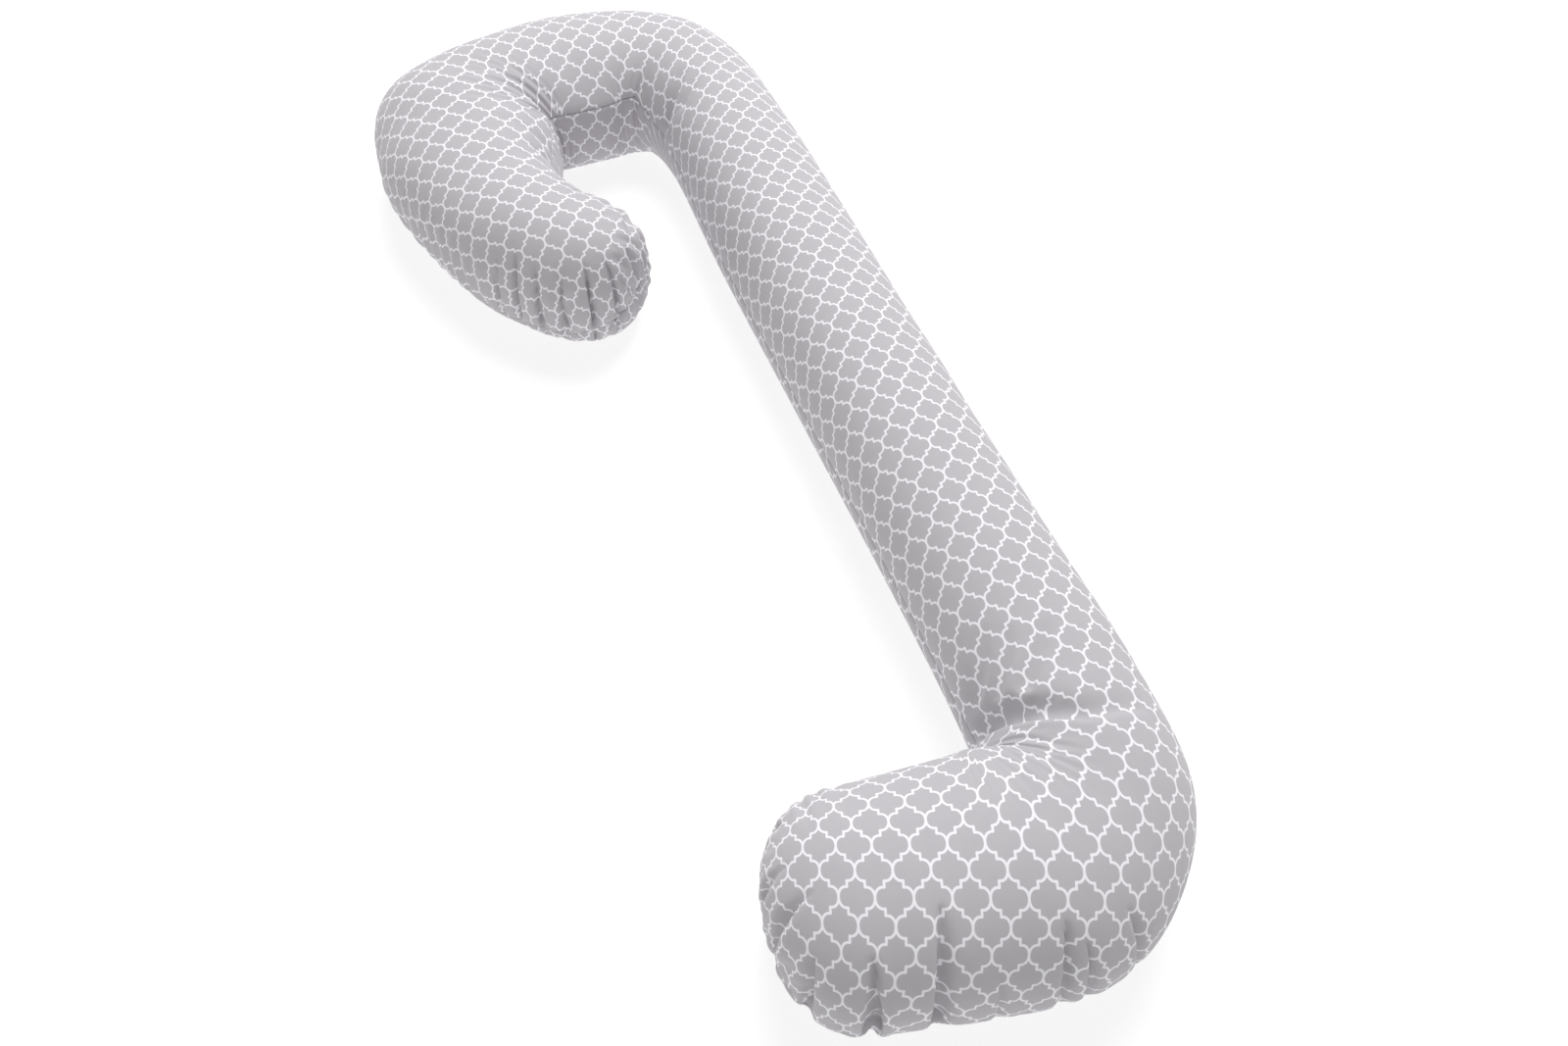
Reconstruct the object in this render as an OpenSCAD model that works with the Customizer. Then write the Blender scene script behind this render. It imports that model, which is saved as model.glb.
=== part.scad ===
// Long body and nursing pillow: a wide foot, a straight back and a curled hook at the head.
// A stuffed inner pillow sits in a removable two-panel cover with a coil zip in its back seam.
// Millimetres. +Z is up, +Y runs from the foot to the head, and the back edge faces +X.
// The origin is the middle of the base of the whole part.

/* [Pillow] */
// Height of the stuffed pillow
pillow_height = 170; // [160:1:185]
// Height of the cover's seam above the surface that the pillow lies on
seam_height = 73; // [68:1:82]
// Squareness of the sides, where 2 is an ellipse
side_power = 2.2; // [2:0.1:2.5]
// Length of the foot's rounded end
foot_end = 85; // [70:1:95]
// Length of the hook's rounded end
hook_end = 112; // [90:1:115]

/* [Cover and casing] */
// Thickness of the cover's fabric
cover_thickness = 1; // [0.8:0.1:1.2]
// Gap between the cover's inner face and the inner pillow's casing
cover_gap = 6; // [5.8:0.1:8]
// Thickness of the casing's fabric
casing_thickness = 0.8; // [0.5:0.1:1]
// Depth of the overlocked seam allowance inside each shell
allowance_depth = 4; // [2:0.5:4]
// Thickness of the overlocked seam allowance
allowance_thickness = 1.6; // [1:0.1:2]
// Length of the care label along the seam
label_length = 45; // [30:1:60]
// Height that the care label hangs down
label_height = 28; // [20:1:30]
// Length of the hand-closed stretch of the casing's seam
closing_length = 200; // [120:10:240]

/* [Zip] */
// Half of the opening between the two folded edges of the cover
zip_opening = 5.6; // [5.4:0.1:6.2]
// Depth of the tapes' middle below the cover's back edge
zip_depth = 2.7; // [2.6:0.1:3]
// Width of each woven tape
tape_width = 13; // [11:0.5:15]
// Thickness of each woven tape
tape_thickness = 0.6; // [0.4:0.1:0.6]
// Radius of each coil's outer envelope
coil_radius = 1.2; // [1:0.05:1.2]
// Length of each stop along the chain
stop_length = 3.5; // [2.5:0.5:5]
// Length of the slider
slider_length = 12.5; // [11:0.5:14]
// Width of the slider
slider_width = 9.6; // [9.4:0.1:10]
// Length of the puller from its hinge pin
puller_length = 34; // [25:1:40]
// Width of the puller's tab
puller_width = 7.6; // [6.5:0.1:8]
// Radius of the puller's hinge pin
pin_radius = 0.75; // [0.6:0.05:0.75]

/* [Hidden] */
// Rungs laid across the pillow, from the foot's end round to the hook's tip.
// Each is [outer edge x, outer edge y, inner edge x, inner edge y], seen from above.
LADDER = [
    [-90, -725, -65, -510],
    [-10, -745, 45, -520],
    [100, -760, 75, -525],
    [185, -725, 90, -535],
    [255, -640, 100, -545],
    [270, -505, 100, -515],
    [270, -310, 100, -330],
    [270, -35, 100, -45],
    [270, 255, 100, 245],
    [270, 475, 105, 450],
    [255, 600, 90, 530],
    [205, 685, 65, 540],
    [90, 750, 40, 530],
    [-70, 755, 5, 530],
    [-240, 690, -30, 535],
    [-275, 545, -35, 515],
    [-245, 400, -50, 465],
    [-205, 300, -55, 425],
    [-160, 240, -30, 360],
];
last_rung = len(LADDER) - 1;
zip_first_rung = 6;
zip_last_rung = 8;
zip_ramp = 0.1;        // rung steps in which the folded edges close beyond the zip
foot_roundness = 2.1;
hook_roundness = 2.4;
end_slope = 0.7;       // how fast the height falls towards the two ends
belly_power = 0.8;     // below 1 the underside is fuller than the top
belly_flat = 1.04;     // over 1 the underside has a flat strip to rest on
across = 10;           // facets across each panel
end_steps = 5;         // rows round each end
gap = 0.1;             // air between pieces that only touch
thread = 0.5;
round_fn = 32;

casing_depth = cover_thickness + cover_gap;
casing_inside = casing_depth + casing_thickness;
fill_depth = casing_inside + allowance_depth + 4 * gap;

// ---------------------------------------------------------------- pillow shape

// Smooth curve through a list of points, where whole values of t are the points
function curve(points, t) =
    let (i = min(floor(t), len(points) - 2), u = t - i, b = points[i], c = points[i + 1])
    let (a = i > 0 ? points[i - 1] : 2 * b - c)
    let (d = i + 2 < len(points) ? points[i + 2] : 2 * c - b)
    b + ((c - a) * u + (2 * a - 5 * b + 4 * c - d) * u * u + (3 * b - a - 3 * c + d) * pow(u, 3)) / 2;

// A row is [centre, outward half width, width factor, height factor, zip opening, reach, direction]
function body_row(t) =
    let (rung = curve(LADDER, t), outer = [rung[0], rung[1]], inner = [rung[2], rung[3]])
    let (opening = t >= zip_first_rung && t <= zip_last_rung ? zip_opening : 0)
    [(outer + inner) / 2, (outer - inner) / 2, 1, 1, opening, 0, [0, 0]];

// The rows round an end start from its last rung and turn through 90 degrees to a single point
function end_row(row, reach, side, roundness, angle) =
    let (n = row[1] / norm(row[1]), s = pow(sin(angle), 2 / roundness), c = pow(cos(angle), 2 / roundness))
    [row[0], row[1], c, pow(c, end_slope), 0, reach, side * s * [-n[1], n[0]]];
function foot_row(angle) = end_row(body_row(0), foot_end, -1, foot_roundness, angle);
function hook_row(angle) = end_row(body_row(last_rung), hook_end, 1, hook_roundness, angle);

body_steps = [
    for (t = [0:0.5:last_rung])
        each t == zip_first_rung ? [t - zip_ramp, t] : t == zip_last_rung ? [t, t + zip_ramp] : [t]
];
rows = concat(
    [for (i = [end_steps - 1:-1:1]) foot_row(90 * i / end_steps)],
    [for (t = body_steps) body_row(t)],
    [for (i = [1:end_steps - 1]) hook_row(90 * i / end_steps)]
);
tips = [foot_row(90), hook_row(90)];
row_count = len(rows);

// A point of the skin, set in by depth. Angle 0 is the outer edge, 90 the top, 180 the inner edge
// and 270 the underside. Lift moves the edge away from the seam.
function skin(row, angle, depth, under = false, lift = 0) =
    let (s = abs(sin(angle)), c = cos(angle))
    let (half = row[1] * (1 - depth / norm(row[1])) * row[2] * sign(c) * pow(abs(c), 2 / side_power))
    let (place = row[0] + half + row[6] * (row[5] - depth))
    let (rise = under ? min(1, belly_flat * pow(s, 2 * belly_power / side_power)) : pow(s, 2 / side_power))
    let (height = ((under ? seam_height : pillow_height - seam_height) - depth) * row[3])
    [place[0], place[1], seam_height + (under ? -1 : 1) * (lift + (height - lift) * rise)];

// Skin points from one angle over a span, row by row, then the two tips. Only the outer edge opens
// for the zip.
function skin_points(start, span, count, depth, zip) = concat(
    [for (r = rows) for (j = [0:count - 1])
        let (angle = start + span * j / across, opening = cos(angle) > 0 ? zip * r[4] : 0)
        skin(r, angle, depth, start + angle > 180, gap + opening)],
    [for (t = tips) skin(t, start, depth, start > 0, gap)]
);

// Faces of such a net of points, closing on a tip at each end
function net_index(i, j, count) =
    i < 0 ? row_count * count : i >= row_count ? row_count * count + 1 : i * count + j % count;
function is_face(f) = f[0] != f[1] && f[1] != f[2] && f[2] != f[0];
function net_faces(count, closed) = [
    for (i = [-1:row_count - 1]) for (j = [0:count - (closed ? 1 : 2)])
        let (a = net_index(i, j, count), b = net_index(i, j + 1, count))
        let (c = net_index(i + 1, j + 1, count), d = net_index(i + 1, j, count))
        for (f = [[a, b, c], [a, c, d]]) if (is_face(f)) f
];

// One fabric panel between two depths, with a flat edge all round at the seam
module panel(start, outside, inside, zip) {
    count = across + 1;
    base = row_count * count + 2;
    edge_faces = [
        for (i = [-1:row_count - 1]) for (side = [0, across])
            let (a = net_index(i, side, count), b = net_index(i + 1, side, count))
            for (f = side == 0 ? [[a, b, b + base], [a, b + base, a + base]]
                               : [[a, a + base, b + base], [a, b + base, b]]) f
    ];
    faces = net_faces(count, false);
    polyhedron(
        concat(skin_points(start, 180, count, outside, zip), skin_points(start, 180, count, inside, zip)),
        concat(faces, [for (f = faces) [f[0] + base, f[2] + base, f[1] + base]], edge_faces),
        convexity = 8
    );
}

// A strip swept through rings of four points
module swept(rings, closed = false) {
    n = len(rings);
    sides = [
        for (i = [0:n - (closed ? 1 : 2)]) for (j = [0:3])
            let (a = 4 * i + j, b = 4 * i + (j + 1) % 4, k = 4 * ((i + 1) % n))
            for (f = [[a, b, k + b % 4], [a, k + b % 4, k + j]]) f
    ];
    e = 4 * (n - 1);
    ends = closed ? [] : [[3, 2, 1], [3, 1, 0], [e, e + 1, e + 2], [e, e + 2, e + 3]];
    polyhedron([for (r = rings) each r], concat(sides, ends), convexity = 8);
}

// Section of a seam allowance at one place on the seam, from one depth inwards
function allowance_ring(row, angle, depth) =
    let (a = skin(row, angle, depth), b = skin(row, angle, depth + allowance_depth))
    let (z = [0, 0, allowance_thickness / 2])
    [a - z, a + z, b + z, b - z];

// The allowance's sections round the seam, counter-clockwise from one row of the outer edge to another
function allowance_rings(first, last, depth) = concat(
    [for (i = [first:row_count - 1]) allowance_ring(rows[i], 0, depth)],
    [allowance_ring(tips[1], 0, depth)],
    [for (i = [row_count - 1:-1:0]) allowance_ring(rows[i], 180, depth)],
    [allowance_ring(tips[0], 0, depth)],
    [for (i = [0:1:last]) allowance_ring(rows[i], 0, depth)]
);
zip_rows = [for (i = [0:row_count - 1]) if (rows[i][4] > 0) i];

// ---------------------------------------------------------------- zip layout

back_x = LADDER[zip_first_rung][0];
zip_x = back_x - zip_depth;
zip_start = LADDER[zip_first_rung][1];
zip_end = LADDER[zip_last_rung][1];
coil_gap = 0.75;                              // half of the channel between the two coils
coil_base = tape_thickness / 2 + gap / 2;
coil_top = coil_base + 2 * coil_radius;
tape_tail = 8;                                // tape beyond each stop
plate = 1;
lower_plate_top = -tape_thickness / 2 - 0.4;
upper_plate_base = coil_top + 0.35;
wall = 1.1;                                   // side walls of the slider
post = 0.7;                                   // web between the slider's plates
lug_height = 1.2;                             // height of the hinge pin above the upper plate
lug_radius = 1.3;
lug_inside = 1.5;
lug_width = 1.2;
bore_clearance = 0.05;
puller_thickness = 1.6;
neck_length = 9;
slider_y = zip_start + stop_length + 0.4 + slider_length / 2;
pin_n = upper_plate_base + plate + lug_height;
hinge = [zip_x + pin_n, slider_y, seam_height];

// Places its children in the whole part's frame
xs = [for (r = rows) for (a = [0, 180]) skin(r, a, 0)[0]];
ys = concat([for (r = rows) for (a = [0, 180]) skin(r, a, 0)[1]], [for (t = tips) skin(t, 0, 0)[1]]);
shift = -[min(xs) + max(max(xs), hinge[0] + lug_radius), min(ys) + max(ys), 0] / 2;
module place() translate(shift) children();

// A frame on the zip: x is outwards from the tapes' middle, y along the chain and z across it
module on_zip(y) translate([zip_x, y, seam_height]) children();

// A frame on the flat of the cover beside the zip: x is off the fabric and z away from the zip.
// The side is 1 above the zip and -1 below it.
module beside_zip(side, depth) {
    step = side > 0 ? 180 / across : 360 - 180 / across;
    row = body_row(zip_first_rung);
    a = skin(row, 0, depth, side < 0, zip_opening + gap);
    b = skin(row, step, depth, side < 0, zip_opening + gap);
    tilt = atan2(a[0] - b[0], abs(b[2] - a[2]));
    translate([a[0], 0, a[2]]) rotate([0, -side * tilt, 0]) scale([1, 1, side]) children();
}

// ---------------------------------------------------------------- cover

module cover_top_panel() color("#bfbbc1") place() panel(0, 0, cover_thickness, 1);

module cover_bottom_panel() color("#b7b3b9") place() panel(180, 0, cover_thickness, 1);

// Both panels' seam allowances, whipped together inside the cover, from one end of the zip round to the other
module cover_seam_overlock() color("#dcdade") place()
    swept(allowance_rings(max(zip_rows) + 1, min(zip_rows) - 1, cover_thickness + 3 * gap));

// Blank label that hangs inside the cover from the seam allowance
module care_label() color("white") place() {
    label_y = zip_end + 60;
    label_depth = cover_thickness + cover_gap / 2;
    translate([0, label_y, zip_opening - allowance_thickness / 2 - 4 * gap])
        beside_zip(-1, label_depth) cube([0.3, label_length, label_height]);
}

// ---------------------------------------------------------------- zip

module tape(side) on_zip(zip_start - tape_tail)
    translate([-tape_thickness / 2, 0, side > 0 ? coil_gap : -coil_gap - tape_width])
        cube([tape_thickness, zip_end - zip_start + 2 * tape_tail, tape_width]);
module zip_tape_upper() color("#d4d1d6") place() tape(1);
module zip_tape_lower() color("#d4d1d6") place() tape(-1);

module coil(side) on_zip(zip_start + stop_length + gap)
    translate([coil_base + coil_radius, 0, side * (coil_gap + coil_radius)]) rotate([-90, 0, 0])
        cylinder(h = zip_end - zip_start - 2 * (stop_length + gap), r = coil_radius, $fn = round_fn);
module zip_coil_upper() color("#e4e2e6") place() coil(1);
module zip_coil_lower() color("#e4e2e6") place() coil(-1);

// Two crimps at the closed end, one on each tape
module zip_top_stops() color("#e4e2e6") place() on_zip(zip_start)
    for (side = [0, 1]) mirror([0, 0, side])
        translate([coil_base, 0, coil_gap]) cube([2 * coil_radius, stop_length, 2 * coil_radius]);

// One block across both coils at the open end
module zip_bottom_stop() color("#e4e2e6") place() on_zip(zip_end - stop_length)
    translate([coil_base, 0, -coil_gap - 2 * coil_radius])
        cube([2 * coil_radius, stop_length, 2 * (coil_gap + 2 * coil_radius)]);

// Slider plate with its two front corners cut away
module slider_plate() {
    half = slider_width / 2;
    back = slider_length / 2;
    cut = 1.6;
    rotate([90, 0, 90]) linear_extrude(plate)
        polygon([[-back, -half + cut], [-back + cut, -half], [back - cut, -half], [back, -half + 2 * cut],
                 [back, half - 2 * cut], [back - cut, half], [-back + cut, half], [-back, half - cut]]);
}

module zip_slider() color("silver") place() on_zip(slider_y) {
    wall_base = tape_thickness / 2 + 0.45;
    wall_length = slider_length - 3.2;
    translate([lower_plate_top - plate, 0, 0]) slider_plate();
    translate([upper_plate_base, 0, 0]) slider_plate();
    for (side = [0, 1]) mirror([0, 0, side])
        translate([wall_base, -wall_length / 2, slider_width / 2 - wall])
            cube([upper_plate_base + plate - wall_base, wall_length, wall]);
    translate([lower_plate_top - plate / 2, -slider_length / 2, -post / 2])
        cube([upper_plate_base - lower_plate_top + plate, 2.5, post]);
    for (side = [0, 1]) mirror([0, 0, side]) translate([0, 0, lug_inside]) difference() {
        union() {
            translate([pin_n, 0, 0]) cylinder(h = lug_width, r = lug_radius, $fn = round_fn);
            translate([upper_plate_base + plate / 2, -lug_radius, 0])
                cube([lug_height + plate / 2, 2 * lug_radius, lug_width]);
        }
        translate([pin_n, 0, -1])
            cylinder(h = lug_width + 2, r = pin_radius + bore_clearance, $fn = round_fn);
    }
}

module zip_puller() color("silver") place() on_zip(slider_y) translate([pin_n, 0, 0]) {
    neck = 2 * (lug_inside - 0.2);
    cylinder(h = 2 * (lug_inside + lug_width), r = pin_radius, center = true, $fn = round_fn);
    cylinder(h = neck, r = puller_thickness / 2, center = true, $fn = round_fn);
    translate([-puller_thickness / 2, 0, -neck / 2]) cube([puller_thickness, neck_length, neck]);
    rotate([0, 90, 0]) difference() {
        union() {
            translate([-puller_width / 2, neck_length - 1, -puller_thickness / 2])
                cube([puller_width, puller_length - neck_length - puller_width / 2 + 1, puller_thickness]);
            translate([0, puller_length - puller_width / 2, -puller_thickness / 2])
                cylinder(h = puller_thickness, r = puller_width / 2, $fn = round_fn);
        }
        translate([0, puller_length - puller_width / 2, -puller_thickness])
            cylinder(h = 2 * puller_thickness, r = puller_width / 4, $fn = round_fn);
    }
}

// Lockstitched thread that holds each folded edge to its tape
module zip_stitching(side) translate([0, zip_start + stop_length, 0])
    beside_zip(side, 0) translate([gap, 0, 4])
        cube([thread, zip_end - zip_start - 2 * stop_length, thread]);
module zip_stitching_upper() color("#eceaee") place() zip_stitching(1);
module zip_stitching_lower() color("#eceaee") place() zip_stitching(-1);

// ---------------------------------------------------------------- inner pillow

module casing_top_panel() color("ivory") place() panel(0, casing_depth, casing_inside, 0);

module casing_bottom_panel() color("ivory") place() panel(180, casing_depth, casing_inside, 0);

module casing_seam_overlock() color("white") place()
    swept(allowance_rings(0, -1, casing_inside + 2 * gap), closed = true);

// Thread that closes the casing after it has been filled
module casing_closing_stitch() color("white") place() {
    closing_start = (zip_start + zip_end - closing_length) / 2;
    translate([back_x - casing_depth + gap, closing_start, seam_height - thread / 2])
        cube([thread, closing_length, thread]);
}

// The stuffing as one solid
module fibre_fill() color("whitesmoke") place() {
    count = 2 * across;
    polyhedron(skin_points(0, 180, count, fill_depth, 0), net_faces(count, true), convexity = 8);
}

cover_top_panel();
cover_bottom_panel();
cover_seam_overlock();
care_label();
zip_tape_upper();
zip_tape_lower();
zip_coil_upper();
zip_coil_lower();
zip_top_stops();
zip_bottom_stop();
zip_slider();
zip_puller();
zip_stitching_upper();
zip_stitching_lower();
casing_top_panel();
casing_bottom_panel();
casing_seam_overlock();
casing_closing_stitch();
fibre_fill();
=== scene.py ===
"""Looks of a long body and nursing pillow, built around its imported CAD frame.

The cover starts as the CAD's smooth shape, laid out on a net of points. Its flat cut is worked out
from that net, and a small cloth solver then puts the cut's real lengths back, so that the fabric
which is too long for the stuffed shape puckers along the seams and creases in the bends.
Everything is in metres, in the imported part's frame.
"""
import math

import bpy
import numpy as np
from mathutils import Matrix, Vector
from mathutils.kdtree import KDTree


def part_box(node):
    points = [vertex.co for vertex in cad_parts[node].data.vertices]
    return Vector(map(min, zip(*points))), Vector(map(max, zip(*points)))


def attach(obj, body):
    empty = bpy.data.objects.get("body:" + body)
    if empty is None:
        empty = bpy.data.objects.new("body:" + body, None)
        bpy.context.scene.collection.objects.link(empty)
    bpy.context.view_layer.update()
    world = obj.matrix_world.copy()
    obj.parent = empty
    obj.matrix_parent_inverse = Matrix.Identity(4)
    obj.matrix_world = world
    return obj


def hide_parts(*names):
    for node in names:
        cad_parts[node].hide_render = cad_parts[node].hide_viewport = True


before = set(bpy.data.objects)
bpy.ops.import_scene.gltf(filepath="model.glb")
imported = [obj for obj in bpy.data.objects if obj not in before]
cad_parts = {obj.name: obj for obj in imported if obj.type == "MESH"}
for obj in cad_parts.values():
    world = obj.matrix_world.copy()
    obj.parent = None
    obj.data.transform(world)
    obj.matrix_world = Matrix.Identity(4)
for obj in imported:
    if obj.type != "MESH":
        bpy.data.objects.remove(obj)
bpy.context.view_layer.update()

MM = 0.001

# ---------------------------------------------------------------- the pillow's shape, as in the CAD

# Rungs laid across the pillow, in millimetres: outer edge x, y and inner edge x, y. The inner corner
# at the foot is a little rounder than the CAD's, where the filling bulges into it.
LADDER = MM * np.array([
    [-90, -725, -65, -510],
    [-10, -745, 45, -520],
    [100, -760, 70, -520],
    [185, -725, 80, -525],
    [255, -640, 85, -530],
    [270, -505, 95, -495],
    [270, -310, 100, -330],
    [270, -35, 100, -45],
    [270, 255, 100, 245],
    [270, 475, 105, 450],
    [255, 600, 90, 530],
    [205, 685, 65, 540],
    [90, 750, 40, 530],
    [-70, 755, 5, 530],
    [-240, 690, -30, 535],
    [-275, 545, -35, 515],
    [-245, 400, -50, 465],
    [-205, 300, -55, 425],
    [-160, 240, -30, 360],
])
LAST_RUNG = len(LADDER) - 1
ZIP_FIRST, ZIP_LAST = 6, 8
BACK_EDGE, ZIP_START, ZIP_END = 270 * MM, -310 * MM, 255 * MM
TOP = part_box("cover_top_panel")[1].z
SEAM = (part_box("zip_slider")[0].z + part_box("zip_slider")[1].z) / 2
SIDE_POWER = 2.2
FOOT_REACH, FOOT_ROUND = 85 * MM, 2.1
HOOK_REACH, HOOK_ROUND = 112 * MM, 2.4
END_SLOPE = 0.7
BELLY_POWER, BELLY_FLAT = 0.8, 1.04
# the CAD's own shift of the ladder to its origin, read off the slider's middle
SLIDER_FROM_START = (3.5 + 0.4 + 12.5 / 2) * MM
TAPE_DEPTH = 2.7 * MM
SHIFT = np.array([
    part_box("zip_tape_upper")[0].x + 0.3 * MM - (BACK_EDGE - TAPE_DEPTH),
    (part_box("zip_slider")[0].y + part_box("zip_slider")[1].y) / 2 - ZIP_START - SLIDER_FROM_START,
])

# ---------------------------------------------------------------- the net of points

ROW_STEP = 6.4 * MM
CAP_ROWS = 22
ACROSS = 54


def curve(t):
    """The outer and the inner edge at places t along the ladder, on a smooth curve through it."""
    t = np.asarray(t, float)
    i = np.clip(np.floor(t).astype(int), 0, LAST_RUNG - 1)
    u = (t - i)[..., None]
    b, c = LADDER[i], LADDER[i + 1]
    a = np.where(i[..., None] > 0, LADDER[np.maximum(i - 1, 0)], 2 * b - c)
    d = np.where(i[..., None] + 2 <= LAST_RUNG, LADDER[np.minimum(i + 2, LAST_RUNG)], 2 * c - b)
    steep = 2 * a - 5 * b + 4 * c - d
    points = b + ((c - a) * u + steep * u**2 + (3 * b - a - 3 * c + d) * u**3) / 2
    return points[..., :2] + SHIFT, points[..., 2:] + SHIFT


def body_places():
    """Places along the ladder, spread evenly between the centre and the outer edge."""
    fine = np.linspace(0, LAST_RUNG, 4001)
    outer, inner = curve(fine)
    step = 0.8 * np.linalg.norm(np.diff(outer, axis=0), axis=1)
    step += 0.2 * np.linalg.norm(np.diff(inner, axis=0), axis=1)
    # closer together where the fabric folds, further apart on the straight side
    step *= np.interp(fine[1:], [0, 3.5, 5, 9, 10, 14, 16], [1.4, 1.2, 0.7, 0.7, 1, 1, 1.2])
    run = np.concatenate([[0], np.cumsum(step)])
    count = int(round(run[-1] / ROW_STEP))
    return np.interp(np.linspace(0, run[-1], count + 1), run, fine)


def section(half, high, phi):
    """Across and up from the seam's level, at angles phi round a section. 0 is the outer edge."""
    c, s = np.cos(phi), np.sin(phi)
    across = half * np.sign(c) * np.abs(c) ** (2 / SIDE_POWER)
    over = (TOP - SEAM) * high * np.abs(s) ** (2 / SIDE_POWER)
    flattened = BELLY_FLAT * np.abs(s) ** (2 * BELLY_POWER / SIDE_POWER)
    return across, np.where(s >= 0, over, -SEAM * high * np.minimum(1, flattened))


# angles round a section, closer together at its edges and crown, where it turns fast
PHI = np.linspace(0, 2 * math.pi, 181)
PHI = PHI - 0.42 * np.sin(4 * PHI) / 4


def section_lengths(half, high):
    """Running length round many sections at the angles PHI."""
    x, z = section(half[:, None], high[:, None], PHI)
    step = np.hypot(np.diff(x, axis=1), np.diff(z, axis=1))
    return np.concatenate([np.zeros((len(half), 1)), np.cumsum(step, axis=1)], axis=1)


def interp_rows(value, xs, ys):
    """One interpolated value a row: ys at value, where xs rises along the row."""
    ys = np.broadcast_to(ys, xs.shape)
    k = np.clip((xs <= value[:, None]).sum(axis=1) - 1, 0, xs.shape[1] - 2)
    r = np.arange(len(value))
    share = (value - xs[r, k]) / np.maximum(xs[r, k + 1] - xs[r, k], 1e-12)
    return ys[r, k] + (ys[r, k + 1] - ys[r, k]) * share


def roll_along(t):
    """How far the fabric is turned round the pillow, down on the outer edge and up on the inner."""
    return MM * np.interp(t, [0, 2.5, 5.4, 8.4, 10.5, 15, 18], [30, 30, 0, 0, 46, 46, 30])


class Net:
    """Rows run along the pillow, columns from the inner to the outer edge of a panel.

    An end cap's rows and columns cover a half disc, with the seam on its rim.
    """

    def __init__(self):
        across = np.linspace(-1, 1, ACROSS + 1)
        steps = np.linspace(0, 1, CAP_ROWS + 1)[1:]
        cap_x = steps[:, None] * np.sqrt(1 - across**2 / 2)
        cap_y = across * np.sqrt(1 - steps[:, None] ** 2 / 2)
        t = body_places()
        body_x, body_y = np.zeros((len(t), 1)) * across, np.ones((len(t), 1)) * across
        self.x = np.concatenate([cap_x[::-1], body_x, cap_x])
        self.y = np.concatenate([cap_y[::-1], body_y, cap_y])
        self.t = np.concatenate([np.zeros(CAP_ROWS), t, np.full(CAP_ROWS, float(LAST_RUNG))])
        self.rows, self.cols = self.x.shape
        self.foot = np.arange(self.rows) < CAP_ROWS
        self.hook = np.arange(self.rows) >= self.rows - CAP_ROWS
        self.body = ~(self.foot | self.hook)
        outer, inner = curve(self.t)
        self.centre, self.half = (outer + inner) / 2, np.linalg.norm(outer - inner, axis=1) / 2
        self.out = (outer - self.centre) / self.half[:, None]
        side = np.where(self.foot, -1.0, 1.0)[:, None]
        self.ahead = side * np.stack([-self.out[:, 1], self.out[:, 0]], axis=1)
        self.reach = np.where(self.foot, FOOT_REACH, HOOK_REACH)
        self.round = np.where(self.foot, FOOT_ROUND, HOOK_ROUND)[:, None]
        self.from_middle = np.clip(np.hypot(self.x, self.y), 0, 1)
        self.top = np.arange(self.rows * self.cols).reshape(self.rows, self.cols)
        self.bottom = self.top.copy()
        inside = (self.rows - 2) * (self.cols - 2)
        self.bottom[1:-1, 1:-1] = self.top.size + np.arange(inside).reshape(self.rows - 2, -1)
        self.count = self.top.size + inside

    def directions(self):
        """Directions from the middle of each cap or row, in shares of its reach and half width."""
        r = np.maximum(self.from_middle, 1e-9)
        ux, uy = self.x / r, self.y / r
        rim = (np.abs(ux) ** self.round + np.abs(uy) ** self.round) ** (1 / self.round)
        rim = np.maximum(rim, 1e-9)
        return ux / rim, uy / rim

    def join(self, top, bottom):
        """One array of points for the whole cover, from one for each panel."""
        whole = np.zeros((self.count,) + top.shape[2:])
        whole[self.bottom] = bottom
        whole[self.top] = top
        return whole


def plan_share(share, under):
    """Share of the way to the edge in plan, for a share of the fabric from crown to edge."""
    phi = np.linspace(math.pi / 2, 0, 241)
    x, z = section(0.1, 1.0, -phi if under else phi)
    run = np.concatenate([[0], np.cumsum(np.hypot(np.diff(x), np.diff(z)))])
    return np.interp(share, run / run[-1], x / 0.1)


def panel_surface(net, under):
    """The smooth surface of one panel, rows by columns."""
    ux, uy = net.directions()
    rho = plan_share(net.from_middle, under)
    forward, sideways = ux * rho, uy * rho
    turn = np.arcsin(np.clip(forward, 0, 1) ** (net.round / 2))
    wide = np.maximum(np.cos(turn) ** (2 / net.round), 1e-4)
    share = np.clip(sideways / wide, -1, 1)
    phi = np.arccos(np.sign(share) * np.abs(share) ** (SIDE_POWER / 2))
    phi = (2 * math.pi - phi if under else phi).ravel()
    half, high = (net.half[:, None] * wide).ravel(), (wide**END_SLOPE).ravel()
    lengths = section_lengths(half, high)
    place = interp_rows(phi, np.broadcast_to(PHI, lengths.shape), lengths)
    place = np.mod(place - (roll_along(net.t)[:, None] * wide).ravel(), lengths[:, -1])
    across, up = section(half, high, interp_rows(place, lengths, PHI))
    plan = net.centre[:, None] + net.out[:, None] * across.reshape(ux.shape)[..., None]
    plan = plan + net.ahead[:, None] * (forward * net.reach[:, None])[..., None]
    return np.concatenate([plan, SEAM + up.reshape(ux.shape)[..., None]], axis=2)


# ---------------------------------------------------------------- the flat cut

def smooth(values, rounds, axis=0):
    """Values evened out along one axis of a grid."""
    for _ in range(rounds):
        ends = [(1, 1) if a == axis else (0, 0) for a in range(values.ndim)]
        p = np.moveaxis(np.pad(values, ends, mode="edge"), axis, 0)
        values = np.moveaxis((p[:-2] + 2 * p[1:-1] + p[2:]) / 4, 0, axis)
    return values


def distance(a, b):
    return np.linalg.norm(a - b, axis=-1)


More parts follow.
